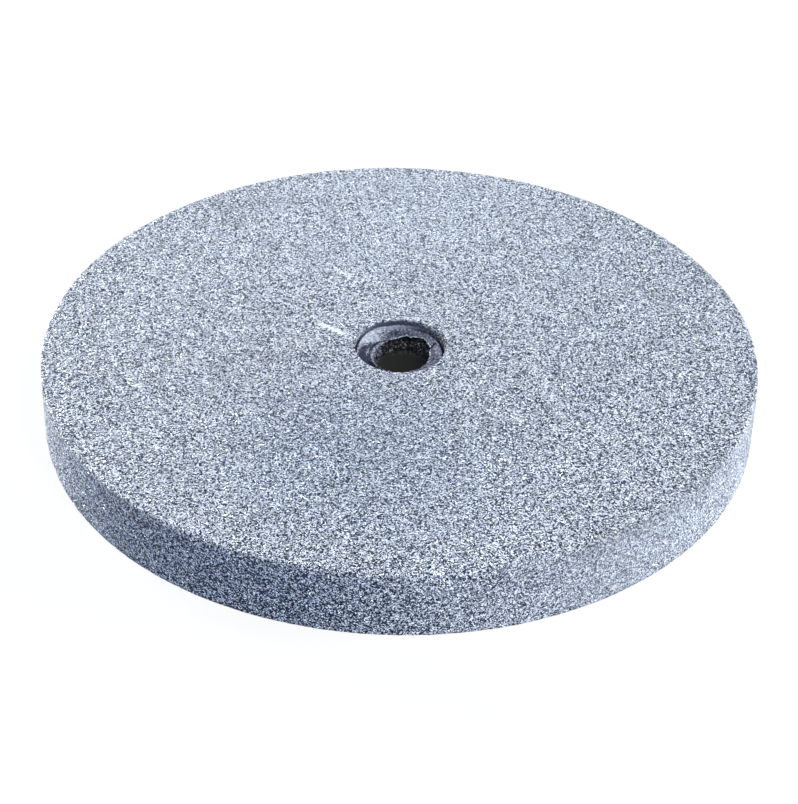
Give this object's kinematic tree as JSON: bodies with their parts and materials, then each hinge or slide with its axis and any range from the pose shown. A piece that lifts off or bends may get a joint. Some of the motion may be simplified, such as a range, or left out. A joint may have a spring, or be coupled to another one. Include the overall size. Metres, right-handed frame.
{
  "type": "bench grinding wheel",
  "caption": "Straight round grinding wheel of coarse blue-grey bonded grit, with a recessed pale bush lining its central spindle bore.",
  "frame": {"origin": "centre of the wheel: on the spin axis, midway between its two flat faces", "axes": "+Z along the spin axis, out of the face shown uppermost; X and Y lie in the plane of the wheel"},
  "size_m": [0.2, 0.2, 0.02],
  "materials": {
    "bonded_grit": "coarse open grain, dry and matt, with fine pale and dark specks",
    "bush_cast": "matt pale grey, moulded, dusty, with a rough inner edge"
  },
  "bodies": {
    "root": {"abrasive_wheel": "bonded_grit", "bore_bush": "bush_cast"}
  },
  "joints": []
}
